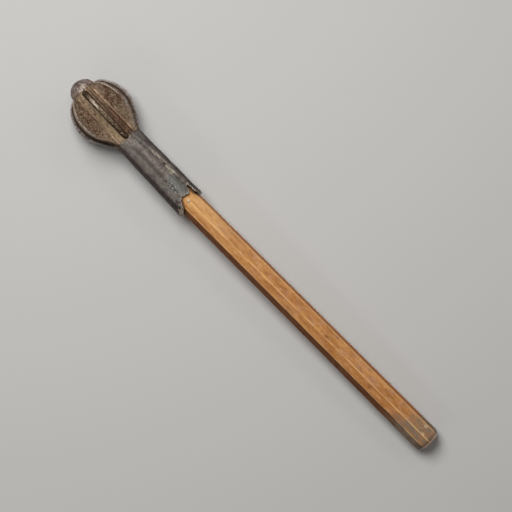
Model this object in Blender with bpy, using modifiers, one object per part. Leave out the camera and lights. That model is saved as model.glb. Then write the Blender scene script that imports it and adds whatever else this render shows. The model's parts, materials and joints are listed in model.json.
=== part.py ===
"""A flanged mace, lying down: an eight-sided wooden shaft, a rolled iron socket nailed over
its end, seven iron flanges standing round the socket's upper half, and a domed finial.

Metres, +Z up. The mace lies along X with its head towards +X, and rests on two of its flanges
and on the lowest arris of its butt. The origin is on the floor, under the middle of the whole.
An angle round the mace is counted from straight up, and is positive towards +Y.
"""

import math

import bmesh
import bpy
from mathutils import Matrix, Vector

MM = 0.001

# Clearances
JOINT_GAP = 0.3 * MM
BORE_FIT = 0.3 * MM

# Shaft
SHAFT_SHOWN = 346 * MM
BUTT_RADIUS = 14.4 * MM
NECK_RADIUS = 12.8 * MM
TENON_LENGTH = 128 * MM
TENON_BEND_DEPTH = 14 * MM
BUTT_BEVEL = 5 * MM
SHAFT_ROLL = math.radians(-2.5)
SHAFT_CORNER_LIMIT = math.radians(60)

# Socket, a sheet rolled into a tapering tube whose edges lap
SOCKET_LENGTH = 147 * MM
SOCKET_MOUTH_RADIUS = 16.0 * MM
SOCKET_TOP_RADIUS = 13.5 * MM
SOCKET_LEAN = math.radians(1.3)
SOCKET_SIDESTEP = 0.4 * MM
SHEET = 1.8 * MM
LAP_GAP = 0.2 * MM
LAP_SWEEP = 10
LAP_RISE_SWEEP = 10
MOUTH_SEAM = -44
SEAM_BEND = 1.7
SHEET_STEP_SWEEP = 5
SHEET_ROWS = 16

# The torn mouth: degrees round from the seam, and reach past the mouth line over the shaft
MOUTH_OUTLINE = [
    (0, -9.0 * MM),
    (6, -7.5 * MM),
    (14, -2.5 * MM),
    (22, -0.5 * MM),
    (30, 0.0 * MM),
    (39, -2.0 * MM),
    (50, -3.8 * MM),
    (58, -2.5 * MM),
    (68, 2.3 * MM),
    (77, 6.2 * MM),
    (92, 9.3 * MM),
    (119, 10.0 * MM),
    (136, 8.5 * MM),
    (149, 3.0 * MM),
    (174, -1.0 * MM),
    (204, -3.0 * MM),
    (234, -1.0 * MM),
    (264, -4.0 * MM),
    (294, 0.0 * MM),
    (312, 4.0 * MM),
    (329, 7.0 * MM),
    (339, 7.0 * MM),
    (350, 4.0 * MM),
    (360, 1.0 * MM),
]

# Flanges
FLANGE_COUNT = 7
FLANGE_THICKNESS = 3.6 * MM
FLANGE_REACH = 32.5 * MM
FLANGE_LENGTH = 63.5 * MM
FLANGE_BELLY = 28 * MM
FLANGE_SETBACK = 0.5 * MM
FLANGE_TIP_STEP = 4.5 * MM
FLANGE_TAIL_STEP = 1.0 * MM
FLANGE_EDGE_BEVEL = 0.5 * MM
FLANGE_CURVE_STEPS = 9
FLANGE_CORNER_LIMIT = math.radians(60)

# How full the crescent's edge is, as shares of the stretch in front of or behind its belly
TIP_HANDLE = (0.11, 0.45)
TAIL_HANDLE = (0.37, 0.5)
BELLY_HANDLES = (0.5, 0.39)

# Finial
FINIAL_HEIGHT = 12 * MM
FINIAL_BROW = 0.2 * MM
FINIAL_FULLNESS = 1.9
FINIAL_RINGS = 9
FINIAL_SIDES = 32

# Nails, each with its depth from the mouth line towards the finial and its angle round the mace
NAIL_SHANK_RADIUS = 0.9 * MM
NAIL_POINT_LENGTH = 2 * MM
NAIL_SIDES = 16
NAIL_HEAD_CURVE = [(0, 1), (0.55, 0.85), (0.9, 0.4), (1, 0)]
TONGUE_NAIL_HEAD_RADIUS = 1.9 * MM
TONGUE_NAIL_HEAD_HEIGHT = 0.9 * MM
TONGUE_NAIL_LENGTH = 9 * MM
TONGUE_NAIL_DEPTH = -2.3 * MM
TONGUE_NAIL_ANGLE = 39.5
BARE_NAIL_HEAD_RADIUS = 1.3 * MM
BARE_NAIL_HEAD_HEIGHT = 0.8 * MM
BARE_NAIL_LENGTH = 6 * MM
BARE_NAIL_DEPTH = -4.0 * MM

# Colours, as linear RGB
WOOD = (0.42, 0.19, 0.075, 1)
SOCKET_IRON = (0.14, 0.125, 0.12, 1)
HEAD_IRON = (0.21, 0.15, 0.11, 1)
NAIL_IRON = (0.30, 0.27, 0.23, 1)


def clear_scene():
    for thing in list(bpy.data.objects):
        bpy.data.objects.remove(thing)


def new_collection(name):
    collection = bpy.data.collections.new(name)
    bpy.context.scene.collection.children.link(collection)
    return collection


def new_material(name, colour, roughness, metallic):
    material = bpy.data.materials.new(name)
    material.use_nodes = True
    shader = material.node_tree.nodes["Principled BSDF"]
    shader.inputs["Base Color"].default_value = colour
    shader.inputs["Roughness"].default_value = roughness
    shader.inputs["Metallic"].default_value = metallic
    return material


def place(name, data, collection, parent, location=(0, 0, 0), rotation=(0, 0, 0), material=None):
    """Links a new object holding data, which is None for an empty, and gives it its material."""
    thing = bpy.data.objects.new(name, data)
    thing.location = location
    thing.rotation_euler = rotation
    thing.parent = parent
    collection.objects.link(thing)
    if material:
        data.materials.append(material)
    return thing


def as_mesh(curve_object):
    """Swaps a curve object for a welded mesh object of the same name and place."""
    bpy.context.view_layer.update()
    evaluated = curve_object.evaluated_get(bpy.context.evaluated_depsgraph_get())
    mesh = bpy.data.meshes.new_from_object(evaluated)
    cage = bmesh.new()
    cage.from_mesh(mesh)
    bmesh.ops.remove_doubles(cage, verts=cage.verts, dist=JOINT_GAP / 10)
    cage.to_mesh(mesh)
    cage.free()
    name = curve_object.name
    collection = curve_object.users_collection[0]
    parent = curve_object.parent
    location = curve_object.location.copy()
    rotation = curve_object.rotation_euler.copy()
    bpy.data.objects.remove(curve_object)
    return place(name, mesh, collection, parent, location, rotation)


def turned(name, profile, sides, collection, parent, location, rotation, material):
    """Turns a profile of (radius, height) points, given from top to bottom, round local Z."""
    mesh = bpy.data.meshes.new(name)
    cage = bmesh.new()
    verts = [cage.verts.new((radius, 0, height)) for radius, height in profile]
    for upper, lower in zip(verts, verts[1:]):
        cage.edges.new((upper, lower))
    cage.to_mesh(mesh)
    cage.free()
    thing = place(name, mesh, collection, parent, location, rotation, material)
    screw = thing.modifiers.new("turn", "SCREW")
    screw.steps = sides
    screw.render_steps = sides
    screw.use_merge_vertices = True
    screw.merge_threshold = 0.00001
    screw.use_smooth_shade = True
    return thing


def socket_radius(depth):
    """The socket's outer radius at a depth from its mouth line towards the finial."""
    return SOCKET_MOUTH_RADIUS + (SOCKET_TOP_RADIUS - SOCKET_MOUTH_RADIUS) * depth / SOCKET_LENGTH


def mouth_centre():
    """The middle of the socket's mouth line, a little to one side of the shaft's axis."""
    return Vector((SHAFT_SHOWN, SOCKET_SIDESTEP, 0))


def flange_tip_depth():
    return SOCKET_LENGTH - FLANGE_SETBACK


def flange_tail_depth():
    return flange_tip_depth() - FLANGE_LENGTH


def make_shaft(collection, mace, material):
    """The tapering octagonal shaft. Its hidden end fills the socket's bore and leans with it."""
    lean = Matrix.Rotation(-SOCKET_LEAN, 3, "Z")
    shown_end = Vector((SHAFT_SHOWN, 0, 0))
    mouth = mouth_centre()
    tenon_radius = socket_radius(TENON_LENGTH) - SHEET - BORE_FIT
    bend_share = TENON_BEND_DEPTH / TENON_LENGTH
    bend_radius = NECK_RADIUS + (tenon_radius - NECK_RADIUS) * bend_share
    stations = [
        (Vector((0, 0, 0)), BUTT_RADIUS),
        (shown_end, NECK_RADIUS),
        (mouth + lean @ Vector((TENON_BEND_DEPTH, 0, 0)), bend_radius),
        (mouth + lean @ Vector((TENON_LENGTH, 0, 0)), tenon_radius),
    ]
    curve = bpy.data.curves.new("shaft", "CURVE")
    curve.dimensions = "3D"
    curve.twist_mode = "Z_UP"
    curve.bevel_depth = BUTT_RADIUS
    curve.bevel_resolution = 2
    curve.use_fill_caps = True
    spline = curve.splines.new("POLY")
    spline.points.add(len(stations) - 1)
    for point, (centre, radius) in zip(spline.points, stations):
        point.co = (*centre, 1)
        point.radius = radius / BUTT_RADIUS
        point.tilt = SHAFT_ROLL
    shaft = as_mesh(place("shaft", curve, collection, mace))
    shaft.data.materials.clear()
    shaft.data.materials.append(material)
    bevel = shaft.modifiers.new("rounded butt", "BEVEL")
    bevel.limit_method = "ANGLE"
    bevel.angle_limit = SHAFT_CORNER_LIMIT
    bevel.width = BUTT_BEVEL
    bevel.segments = 2
    return shaft


def mouth_reach(sweep):
    """How far the torn edge reaches past the mouth line, at some degrees round from the seam."""
    first, last = MOUTH_OUTLINE[0], MOUTH_OUTLINE[-1]
    if sweep <= first[0]:
        return first[1]
    for (start, low), (end, high) in zip(MOUTH_OUTLINE, MOUTH_OUTLINE[1:]):
        if sweep <= end:
            share = (sweep - start) / (end - start)
            return low + (high - low) * (1 - math.cos(math.pi * share)) / 2
    return last[1]


def seam_angle(depth):
    """The seam's angle in degrees: between two flanges in the head, and further round at the mouth."""
    head_seam = -180 / FLANGE_COUNT + (LAP_SWEEP + LAP_RISE_SWEEP) / 2
    share = min(1, max(0, depth / flange_tail_depth()))
    return MOUTH_SEAM + (head_seam - MOUTH_SEAM) * share**SEAM_BEND


def sheet_point(sweep, share):
    """A point of the rolled sheet's outer face. share runs from the torn mouth, 0, to the top, 1."""
    mouth = -mouth_reach(sweep)
    depth = mouth + (SOCKET_LENGTH - mouth) * share
    rise_start = 360 - LAP_SWEEP - LAP_RISE_SWEEP
    rise = min(1, max(0, (sweep - rise_start) / LAP_RISE_SWEEP))
    radius = socket_radius(depth) + (SHEET + LAP_GAP) * rise
    angle = math.radians(seam_angle(depth) + sweep)
    return Vector((depth, radius * math.sin(angle), radius * math.cos(angle)))


def make_socket(collection, socket_frame, material):
    """The socket: a grid rolled from the hidden inner edge round to the outer lip.

    Its faces are turned to point outwards, and the wall then grows inwards from them.
    """
    total_sweep = 360 + LAP_SWEEP
    columns = round(total_sweep / SHEET_STEP_SWEEP)
    mesh = bpy.data.meshes.new("socket")
    cage = bmesh.new()
    bmesh.ops.create_grid(cage, x_segments=columns, y_segments=SHEET_ROWS, size=0.5)
    for vert in cage.verts:
        sweep = (vert.co.x + 0.5) * total_sweep - LAP_SWEEP
        vert.co = sheet_point(sweep, vert.co.y + 0.5)
    bmesh.ops.reverse_faces(cage, faces=cage.faces)
    cage.to_mesh(mesh)
    cage.free()
    socket = place("socket", mesh, collection, socket_frame, material=material)
    wall = socket.modifiers.new("sheet", "SOLIDIFY")
    wall.thickness = SHEET
    wall.offset = -1
    wall.use_even_offset = True
    return socket


def make_flange(number, collection, socket_frame, material):
    """One crescent plate, standing on the socket with its root along the taper."""
    tip = flange_tip_depth()
    tail = flange_tail_depth()
    belly = tip - FLANGE_BELLY
    tip_root = socket_radius(tip) + JOINT_GAP
    tail_root = socket_radius(tail) + JOINT_GAP
    tip_top = tip_root + FLANGE_TIP_STEP
    tail_top = tail_root + FLANGE_TAIL_STEP
    back = belly - tail
    tip_rise = (FLANGE_REACH - tip_top) * TIP_HANDLE[1]
    tail_rise = (FLANGE_REACH - tail_top) * TAIL_HANDLE[1]
    tip_handle = Vector((tip - FLANGE_BELLY * TIP_HANDLE[0], tip_top + tip_rise, 0))
    tail_handle = Vector((tail + back * TAIL_HANDLE[0], tail_top + tail_rise, 0))
    outline = [
        (Vector((tail, tail_root, 0)), None, None),
        (Vector((tip, tip_root, 0)), None, None),
        (Vector((tip, tip_top, 0)), None, tip_handle),
        (
            Vector((belly, FLANGE_REACH, 0)),
            Vector((belly + FLANGE_BELLY * BELLY_HANDLES[0], FLANGE_REACH, 0)),
            Vector((belly - back * BELLY_HANDLES[1], FLANGE_REACH, 0)),
        ),
        (Vector((tail, tail_top, 0)), tail_handle, None),
    ]
    name = f"flange_{number + 1}"
    curve = bpy.data.curves.new(name, "CURVE")
    curve.dimensions = "2D"
    curve.fill_mode = "BOTH"
    curve.extrude = FLANGE_THICKNESS / 2
    curve.resolution_u = FLANGE_CURVE_STEPS
    spline = curve.splines.new("BEZIER")
    spline.bezier_points.add(len(outline) - 1)
    spline.use_cyclic_u = True
    for point, (corner, left, right) in zip(spline.bezier_points, outline):
        point.co = corner
        point.handle_left_type = "FREE" if left else "VECTOR"
        point.handle_right_type = "FREE" if right else "VECTOR"
        point.handle_left = left or corner
        point.handle_right = right or corner
    turn = 2 * math.pi * number / FLANGE_COUNT
    rotation = (math.pi / 2 - turn, 0, 0)
    flange = place(name, curve, collection, socket_frame, (0, 0, 0), rotation, material)
    weld = flange.modifiers.new("weld", "WELD")
    weld.merge_threshold = 0.00001
    bevel = flange.modifiers.new("worn edge", "BEVEL")
    bevel.limit_method = "ANGLE"
    bevel.angle_limit = FLANGE_CORNER_LIMIT
    bevel.width = FLANGE_EDGE_BEVEL
    bevel.segments = 1
    return flange


def make_finial(collection, socket_frame, material):
    """The blunt dome that closes the socket's upper end."""
    radius = SOCKET_TOP_RADIUS + FINIAL_BROW
    profile = []
    for step in range(FINIAL_RINGS + 1):
        turn = math.pi / 2 * step / FINIAL_RINGS
        out = math.sin(turn) ** (2 / FINIAL_FULLNESS)
        up = math.cos(turn) ** (2 / FINIAL_FULLNESS)
        profile.append((radius * out, FINIAL_HEIGHT * up))
    profile.append((0, 0))
    location = (SOCKET_LENGTH + JOINT_GAP, 0, 0)
    rotation = (0, math.pi / 2, 0)
    return turned("finial", profile, FINIAL_SIDES, collection, socket_frame, location, rotation, material)


def make_nail(name, seat, angle, head_radius, head_height, length, collection, frame, material):
    """A nail driven in radially. seat is its (depth, radius) where the head's underside rests."""
    depth, radius = seat
    profile = [(head_radius * out, head_height * up) for out, up in NAIL_HEAD_CURVE]
    profile.append((NAIL_SHANK_RADIUS, 0))
    profile.append((NAIL_SHANK_RADIUS, -length + NAIL_POINT_LENGTH))
    profile.append((0, -length))
    location = (depth, radius * math.sin(angle), radius * math.cos(angle))
    rotation = (-angle, 0, 0)
    return turned(name, profile, NAIL_SIDES, collection, frame, location, rotation, material)


def drill_for(nail, length, cutters, *pierced):
    """Cuts the nail's hole, one clearance wider and deeper than its shank, through the pieces."""
    hole_length = length + 2 * JOINT_GAP
    mesh = bpy.data.meshes.new(f"{nail.name}_hole")
    cage = bmesh.new()
    bmesh.ops.create_cone(
        cage,
        cap_ends=True,
        segments=NAIL_SIDES,
        radius1=NAIL_SHANK_RADIUS + JOINT_GAP,
        radius2=NAIL_SHANK_RADIUS + JOINT_GAP,
        depth=hole_length,
        matrix=Matrix.Translation((0, 0, JOINT_GAP - hole_length / 2)),
    )
    cage.to_mesh(mesh)
    cage.free()
    cutter = place(f"{nail.name}_hole", mesh, cutters, nail.parent, nail.location, nail.rotation_euler)
    cutter.hide_render = True
    cutter.display_type = "WIRE"
    for piece in pierced:
        cut = piece.modifiers.new(f"{nail.name} hole", "BOOLEAN")
        cut.operation = "DIFFERENCE"
        cut.solver = "EXACT"
        cut.object = cutter


def corners_seen_by(mace, pieces):
    """Every vertex of the finished pieces, in the mace's own frame."""
    graph = bpy.context.evaluated_depsgraph_get()
    to_mace = mace.matrix_world.inverted()
    found = []
    for piece in pieces:
        evaluated = piece.evaluated_get(graph)
        mesh = evaluated.to_mesh()
        shift = to_mace @ piece.matrix_world
        found.extend(shift @ vert.co for vert in mesh.vertices)
        evaluated.to_mesh_clear()
    return found


def lay_down(mace, pieces):
    """Tips the mace until its head and its butt both touch the floor, then centres it there."""
    bpy.context.view_layer.update()
    corners = corners_seen_by(mace, pieces)
    pitch = 0
    for _ in range(4):
        tipped = Matrix.Rotation(pitch, 3, "Y")
        head = min((c for c in corners if c.x > SHAFT_SHOWN), key=lambda c: (tipped @ c).z)
        butt = min((c for c in corners if c.x < SHAFT_SHOWN / 2), key=lambda c: (tipped @ c).z)
        pitch = math.atan2(head.z - butt.z, head.x - butt.x)
    tipped = Matrix.Rotation(pitch, 3, "Y")
    laid = [tipped @ corner for corner in corners]
    low = Vector([min(c[i] for c in laid) for i in range(3)])
    high = Vector([max(c[i] for c in laid) for i in range(3)])
    middle = (low + high) / 2
    mace.rotation_euler = (0, pitch, 0)
    mace.location = (-middle.x, -middle.y, -low.z)


def main():
    clear_scene()
    parts = new_collection("ceremonial_mace")
    cutters = new_collection("cutters")
    wood = new_material("wood", WOOD, 0.5, 0)
    socket_iron = new_material("socket_iron", SOCKET_IRON, 0.55, 0.8)
    head_iron = new_material("head_iron", HEAD_IRON, 0.6, 0.6)
    nail_iron = new_material("nail_iron", NAIL_IRON, 0.4, 0.9)

    mace = place("mace_frame", None, parts, None)
    lean = (0, 0, -SOCKET_LEAN)
    socket_frame = place("socket_frame", None, parts, mace, mouth_centre(), lean)

    shaft = make_shaft(parts, mace, wood)
    socket = make_socket(parts, socket_frame, socket_iron)
    finial = make_finial(parts, socket_frame, head_iron)
    flanges = [make_flange(i, parts, socket_frame, head_iron) for i in range(FLANGE_COUNT)]

    tongue_nail = make_nail(
        "tongue_nail",
        (TONGUE_NAIL_DEPTH, socket_radius(TONGUE_NAIL_DEPTH) + JOINT_GAP),
        math.radians(TONGUE_NAIL_ANGLE),
        TONGUE_NAIL_HEAD_RADIUS,
        TONGUE_NAIL_HEAD_HEIGHT,
        TONGUE_NAIL_LENGTH,
        parts,
        socket_frame,
        nail_iron,
    )
    drill_for(tongue_nail, TONGUE_NAIL_LENGTH, cutters, socket, shaft)
    bare_nail = make_nail(
        "bare_nail",
        (SHAFT_SHOWN + BARE_NAIL_DEPTH, NECK_RADIUS + JOINT_GAP),
        SHAFT_ROLL,
        BARE_NAIL_HEAD_RADIUS,
        BARE_NAIL_HEAD_HEIGHT,
        BARE_NAIL_LENGTH,
        parts,
        mace,
        nail_iron,
    )
    drill_for(bare_nail, BARE_NAIL_LENGTH, cutters, shaft)

    lay_down(mace, [shaft, socket, finial, *flanges, tongue_nail, bare_nail])


main()
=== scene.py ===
import json
import math

import bmesh
import bpy
from mathutils import Matrix, Vector, noise


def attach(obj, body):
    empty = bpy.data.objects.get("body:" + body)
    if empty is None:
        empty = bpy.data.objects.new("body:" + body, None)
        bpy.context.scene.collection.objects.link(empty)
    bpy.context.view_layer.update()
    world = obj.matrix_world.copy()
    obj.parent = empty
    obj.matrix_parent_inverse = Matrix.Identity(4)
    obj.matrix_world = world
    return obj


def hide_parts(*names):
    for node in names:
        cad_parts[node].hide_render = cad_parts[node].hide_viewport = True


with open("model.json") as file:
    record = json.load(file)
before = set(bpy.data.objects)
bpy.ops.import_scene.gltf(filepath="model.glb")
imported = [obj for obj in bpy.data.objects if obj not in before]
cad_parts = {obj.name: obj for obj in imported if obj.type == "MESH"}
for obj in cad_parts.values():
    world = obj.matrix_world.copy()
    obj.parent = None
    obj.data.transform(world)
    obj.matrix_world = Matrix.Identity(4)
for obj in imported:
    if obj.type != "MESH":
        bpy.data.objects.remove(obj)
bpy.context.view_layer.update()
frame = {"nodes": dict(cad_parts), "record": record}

# The shaft is one stick of close-grained hardwood, cut to eight flats of slightly unlike width and
# worn smooth by hands. Its butt is rubbed round and stained grey, and its upper end is a long
# taper that fills the iron socket and leans with it.

MM = 0.001
butt_face = frame["record"]["mounts"][0]
stick_along = -Vector(butt_face["axis"]).normalized()
stick_across = Vector((0, 1, 0))
stick_up = stick_along.cross(stick_across)
stick_space = Matrix((stick_along, stick_across, stick_up)).transposed().to_4x4()
stick_space.translation = Vector(butt_face["pos_m"])

MACE_LENGTH = 505.4 * MM
STICK_SHOWN = 346 * MM
STICK_BUTT_RADIUS = 14.4 * MM
STICK_NECK_RADIUS = 12.8 * MM
TAPER_LENGTH = 128 * MM
TAPER_END_RADIUS = 11.7 * MM
TAPER_LEAN = math.radians(1.3)
TAPER_SIDESTEP = 0.4 * MM
TAPER_EASE = 14 * MM
FLAT_WANDER = 0.006
FLAT_WANDER_LENGTH = 45 * MM
ARRIS_SHARPNESS = 62
ARRIS_BLUR = 3.6
BUTT_RUB_LENGTH = 6 * MM
BUTT_RUB_DEPTH = 5.2 * MM
BUTT_RUB_CURVE = 1.8
BUTT_RUB_UNEVEN = 0.2
STICK_UNEVEN = 0.05 * MM
STICK_UNEVEN_SIZE = 2.5 * MM
KNOCK_REACH = 2.5
STICK_ROWS = 480
STICK_COLUMNS = 128
BUTT_FACE_SHARE = 0.03
DRAWN_TO_ARRISES = 0.12
WELD = 0.002 * MM

# Where the eight arrises stand round the stick, in degrees from straight up towards +Y
ARRISES = [-143, -97, -51, -1.5, 34, 78, 126, 172]

# The middle of each flat and half its width, in the same degrees
FLATS = [
    ((near + far) / 2, (far - near) / 2)
    for near, far in zip(ARRISES, ARRISES[1:] + [ARRISES[0] + 360])
]

# Knocks in the wood: how far from the finial's tip, how far to the side seen from above, width, depth
STICK_KNOCKS = [
    (356 * MM, -2 * MM, 2.2 * MM, 0.45 * MM),
    (365 * MM, -9.4 * MM, 1.8 * MM, 0.4 * MM),
    (422 * MM, 3.8 * MM, 1.6 * MM, 0.4 * MM),
    (490 * MM, -8.8 * MM, 2.4 * MM, 0.55 * MM),
    (492 * MM, -1.3 * MM, 2.6 * MM, 0.5 * MM),
    (502 * MM, 11.0 * MM, 4.5 * MM, 1.6 * MM),
]


def unit(value):
    return min(1, max(0, value))


def ripple(point, size, seed=0.0):
    """Smooth noise from -1 to 1 with bumps about as wide as size."""
    return noise.noise(Vector(point) / size + Vector((seed, seed, seed)))


def polar(along, radius, angle):
    """A point at a length along the axis, a radius from it and an angle from straight up."""
    return Vector((along, radius * math.sin(angle), radius * math.cos(angle)))


def new_object(name, data):
    thing = bpy.data.objects.new(name, data)
    bpy.context.scene.collection.objects.link(thing)
    return thing


def skin(name, rows, columns, place):
    """A mesh object: a grid whose corners go where place(round, along) says, both from 0 to 1."""
    cage = bmesh.new()
    bmesh.ops.create_grid(cage, x_segments=columns, y_segments=rows, size=0.5)
    for vert in cage.verts:
        vert.co = place(vert.co.x + 0.5, vert.co.y + 0.5)
    bmesh.ops.remove_doubles(cage, verts=cage.verts, dist=WELD)
    bmesh.ops.dissolve_degenerate(cage, edges=cage.edges, dist=WELD / 2)
    if all(edge.is_manifold for edge in cage.edges):
        bmesh.ops.recalc_face_normals(cage, faces=cage.faces)
    mesh = bpy.data.meshes.new(name)
    cage.to_mesh(mesh)
    cage.free()
    mesh.shade_smooth()
    return new_object(name, mesh)


def mark_points(thing, name, value_at, space_inverse):
    """Writes a number on each point of a mesh, worked out from its place."""
    marks = thing.data.attributes.new(name, "FLOAT", "POINT")
    for vert, mark in zip(thing.data.vertices, marks.data):
        mark.value = value_at(space_inverse @ vert.co)


def stick_flats_radius(along, angle):
    """The eight-sided outline, at a length from the butt and an angle from straight up."""
    if along < STICK_SHOWN:
        corner = STICK_BUTT_RADIUS + (STICK_NECK_RADIUS - STICK_BUTT_RADIUS) * along / STICK_SHOWN
    else:
        share = min(1, (along - STICK_SHOWN) / TAPER_LENGTH)
        corner = STICK_NECK_RADIUS + (TAPER_END_RADIUS - STICK_NECK_RADIUS) * share
    total = 0
    for number, (facing, half_span) in enumerate(FLATS):
        wander = 1 + FLAT_WANDER * ripple((along, number, 0), FLAT_WANDER_LENGTH)
        flat = corner * math.cos(math.radians(half_span)) * wander
        toward = math.cos(angle - math.radians(facing)) / flat
        total += max(0, toward) ** ARRIS_SHARPNESS
    return min(corner, total ** (-1 / ARRIS_SHARPNESS))


def stick_angle(round_share):
    """Goes once round the stick with the grid's lines drawn together at the eight arrises."""
    flat, share = divmod(round_share * len(ARRISES) + 1e-6, 1)
    flat = int(flat) % len(ARRISES)
    drawn = share - DRAWN_TO_ARRISES * math.sin(2 * math.pi * share)
    facing, half_span = FLATS[flat]
    return math.radians(facing + half_span * (2 * drawn - 1))


def stick_point(round_share, along_share):
    angle = stick_angle(round_share)
    full_length = STICK_SHOWN + TAPER_LENGTH
    inside = (along_share - BUTT_FACE_SHARE) / (1 - 2 * BUTT_FACE_SHARE)
    along = unit(inside) * full_length
    radius = stick_flats_radius(along, angle)
    if along < BUTT_RUB_LENGTH:
        lost = 1 - along / BUTT_RUB_LENGTH
        radius -= BUTT_RUB_DEPTH * (1 + BUTT_RUB_UNEVEN * math.sin(angle)) * lost**BUTT_RUB_CURVE
    side, height = radius * math.sin(angle), radius * math.cos(angle)
    for from_tip, knock_side, width, depth in STICK_KNOCKS:
        away = math.hypot(MACE_LENGTH - from_tip - along, knock_side - side) / width
        if height > 0 and away < KNOCK_REACH:
            radius -= depth * math.exp(-away * away)
    radius += STICK_UNEVEN * ripple((along * 0.15, side, height), STICK_UNEVEN_SIZE)
    if inside < 0:
        radius *= along_share / BUTT_FACE_SHARE
    if inside > 1:
        radius *= (1 - along_share) / BUTT_FACE_SHARE
    point = polar(along, radius, angle)
    if along > STICK_SHOWN:
        leaning = Matrix.Rotation(-TAPER_LEAN, 3, "Z") @ Vector((along - STICK_SHOWN, point.y, point.z))
        eased = min(1, (along - STICK_SHOWN) / TAPER_EASE)
        point = leaning + Vector((STICK_SHOWN, TAPER_SIDESTEP * eased, 0))
    return stick_space @ point


def arris_wear_and_highlight(spot):
    """1 on an arris, falling to 0 a few degrees beside it."""
    facing = math.degrees(math.atan2(spot.y, spot.z))
    nearest = min(abs((facing - arris + 180) % 360 - 180) for arris in ARRISES)
    return max(0, 1 - nearest / ARRIS_BLUR)


class Wire:
    """One output of a node, so that sums and products of wires can be written as plain arithmetic."""

    def __init__(self, book, socket):
        self.book = book
        self.socket = socket

    def maths(self, operation, first, second):
        return self.book.add("ShaderNodeMath", {"operation": operation}, [first, second])

    def __add__(self, other):
        return self.maths("ADD", self, other)

    def __sub__(self, other):
        return self.maths("SUBTRACT", self, other)

    def __rsub__(self, other):
        return self.maths("SUBTRACT", other, self)

    def __mul__(self, other):
        return self.maths("MULTIPLY", self, other)

    def __truediv__(self, other):
        return self.maths("DIVIDE", self, other)

    def __rtruediv__(self, other):
        return self.maths("DIVIDE", other, self)

    def __pow__(self, other):
        return self.maths("POWER", self, other)

    __radd__ = __add__
    __rmul__ = __mul__

    def ramp(self, low, high):
        """Eases from 0 at low to 1 at high, and works the other way round too."""
        return self.book.add(
            "ShaderNodeMapRange",
            {"interpolation_type": "SMOOTHSTEP"},
            {"Value": self, "From Min": low, "From Max": high},
        )

    def peak(self, other):
        return self.maths("MAXIMUM", self, other)


class Book:
    """A node tree being written: add() makes a node, sets it, feeds it and returns its output."""

    def __init__(self, tree):
        self.tree = tree

    def add(self, kind, settings=None, inputs=(), output=0):
        node = self.tree.nodes.new(kind)
        for name, value in (settings or {}).items():
            setattr(node, name, value)
        pairs = inputs.items() if isinstance(inputs, dict) else enumerate(inputs)
        for key, value in pairs:
            self.feed(node.inputs[key], value)
        return Wire(self, node.outputs[output])

    def feed(self, socket, value):
        if isinstance(value, Wire):
            self.tree.links.new(value.socket, socket)
        else:
            socket.default_value = value


class Finish(Book):
    """A material whose patterns are laid out in the space of one part of the mace."""

    def __init__(self, name, space, ior=1.5):
        self.material = bpy.data.materials.new(name)
        self.material.use_nodes = True
        super().__init__(self.material.node_tree)
        self.shader = self.tree.nodes["Principled BSDF"]
        self.shader.inputs["IOR"].default_value = ior
        place = {
            "Vector": self.add("ShaderNodeTexCoord", output="Object"),
            "Location": space.translation,
            "Rotation": Vector(space.to_euler()),
        }
        self.local = self.add("ShaderNodeMapping", {"vector_type": "TEXTURE"}, place)
        split = self.tree.nodes.new("ShaderNodeSeparateXYZ")
        self.feed(split.inputs[0], self.local)
        self.along, self.side, self.up = [Wire(self, out) for out in split.outputs]

    def grain(self, size, detail, roughness, stretch=1):
        """Noise whose blotches are about size across, and stretch times as long."""
        scale = (1 / (size * stretch), 1 / size, 1 / size)
        at = self.add("ShaderNodeVectorMath", {"operation": "MULTIPLY"}, [self.local, scale])
        settings = {"Vector": at, "Scale": 1.0, "Detail": detail, "Roughness": roughness}
        return self.add("ShaderNodeTexNoise", {}, settings)

    def blend(self, share, first, second):
        return self.add("ShaderNodeMix", {"data_type": "RGBA"}, {0: share, 6: first, 7: second}, 2)

    def coat(self, share, tone):
        """Lays a tone over the colour so far, as thickly as share says."""
        self.colour = self.blend(share, self.colour, tone)

    def mark(self, name):
        """Reads a number that was written on the points of the mesh."""
        return self.add("ShaderNodeAttribute", {"attribute_name": name}, output="Fac")

    def patch(self, along, side, half_length, half_width, ragged):
        """1 inside a ragged oval on the upper side of the piece, falling to 0 outside it."""
        x = (self.along - along) / half_length
        y = (self.side - side) / half_width
        away = x * x + y * y + (self.grain(half_width * 1.6, 3, 0.6) - 0.5) * (5 * ragged)
        return away.ramp(1.15, 0.75) * self.up.ramp(0, 0.003)

    def patches(self, spots, ragged):
        """1 inside any of several ragged ovals."""
        total = self.patch(*spots[0], ragged)
        for spot in spots[1:]:
            total = total.peak(self.patch(*spot, ragged))
        return total

    def bump(self, height, distance):
        return self.add("ShaderNodeBump", {}, {"Height": height, "Distance": distance})

    def wear(self, **values):
        """Feeds the shader's sockets, named with underscores for spaces."""
        for name, value in values.items():
            self.feed(self.shader.inputs[name.replace("_", " ").title()], value)


WOOD_LIGHT = (0.58, 0.270, 0.086, 1)
WOOD_DEEP = (0.37, 0.135, 0.030, 1)
WOOD_PINK = (0.50, 0.255, 0.140, 1)
WOOD_GREY = (0.27, 0.140, 0.068, 1)
WOOD_PORE = (0.15, 0.050, 0.018, 1)
WOOD_PALE = (0.78, 0.47, 0.19, 1)
WOOD_LOWER_FLATS_SHADE = (0.092, 0.024, 0.004, 1)
WOOD_UPPER_FLAT_SHADE = (0.36, 0.105, 0.010, 1)
WOOD_STAIN = (0.185, 0.147, 0.108, 1)
WOOD_LIP_SHADOW = (0.060, 0.020, 0.008, 1)
WOOD_CHIP = (0.60, 0.43, 0.25, 1)
WOOD_BUTT_RIM_HIGHLIGHT = (0.84, 0.62, 0.47, 1)

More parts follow.
